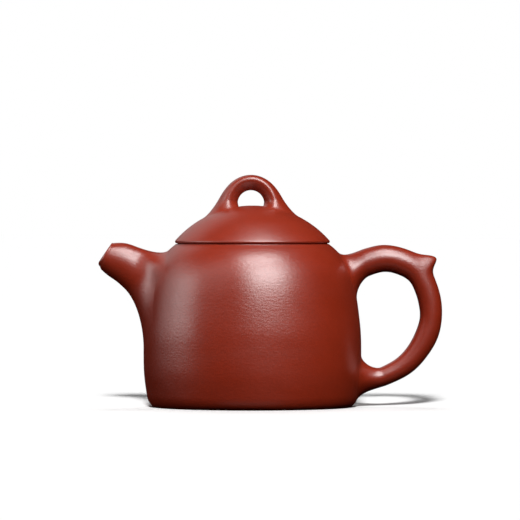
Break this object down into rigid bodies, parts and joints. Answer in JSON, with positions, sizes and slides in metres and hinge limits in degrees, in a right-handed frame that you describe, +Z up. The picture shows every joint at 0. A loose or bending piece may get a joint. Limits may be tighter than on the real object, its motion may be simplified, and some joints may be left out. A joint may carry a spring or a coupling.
{
  "type": "yixing clay teapot",
  "caption": "Unglazed red clay teapot shaped like an old scale weight, with a domed lift-off lid and bridge knob, a short spout with an inner strainer, and a handle with a thumb spur.",
  "frame": {"origin": "centre of the flat underside, on the pot's axis", "axes": "+Z up along the pot's axis, -X towards the spout, +X towards the handle"},
  "size_m": [0.1374, 0.087, 0.0928],
  "materials": {
    "base_disc": "matt unglazed red clay",
    "body_wall": "burnished unglazed red clay with a satin sheen",
    "mouth_ring": "smooth unglazed red clay",
    "spout": "burnished unglazed red clay with a satin sheen",
    "strainer": "matt unglazed red clay",
    "handle": "burnished unglazed red clay with a satin sheen",
    "lid_flange": "matt unglazed red clay",
    "lid_plate": "burnished unglazed red clay with a satin sheen",
    "lid_dome": "burnished unglazed red clay with a satin sheen",
    "knob_bridge": "burnished unglazed red clay with a satin sheen"
  },
  "bodies": {
    "pot": {"base_disc": "base_disc", "body_wall": "body_wall", "mouth_ring": "mouth_ring", "spout": "spout", "strainer": "strainer", "handle": "handle"},
    "lid_collar": {"lid_flange": "lid_flange"},
    "lid": {"lid_plate": "lid_plate", "lid_dome": "lid_dome", "knob_bridge": "knob_bridge"}
  },
  "joints": [
    {"name": "lid_lift", "type": "slide", "parent": "pot", "child": "lid_collar", "axis": [0, 0, 1], "range_m": [0, 0.04]},
    {"name": "lid_turn", "type": "hinge", "parent": "lid_collar", "child": "lid", "pos_m": [0, 0, 0.0655], "axis": [0, 0, 1], "continuous": true}
  ]
}
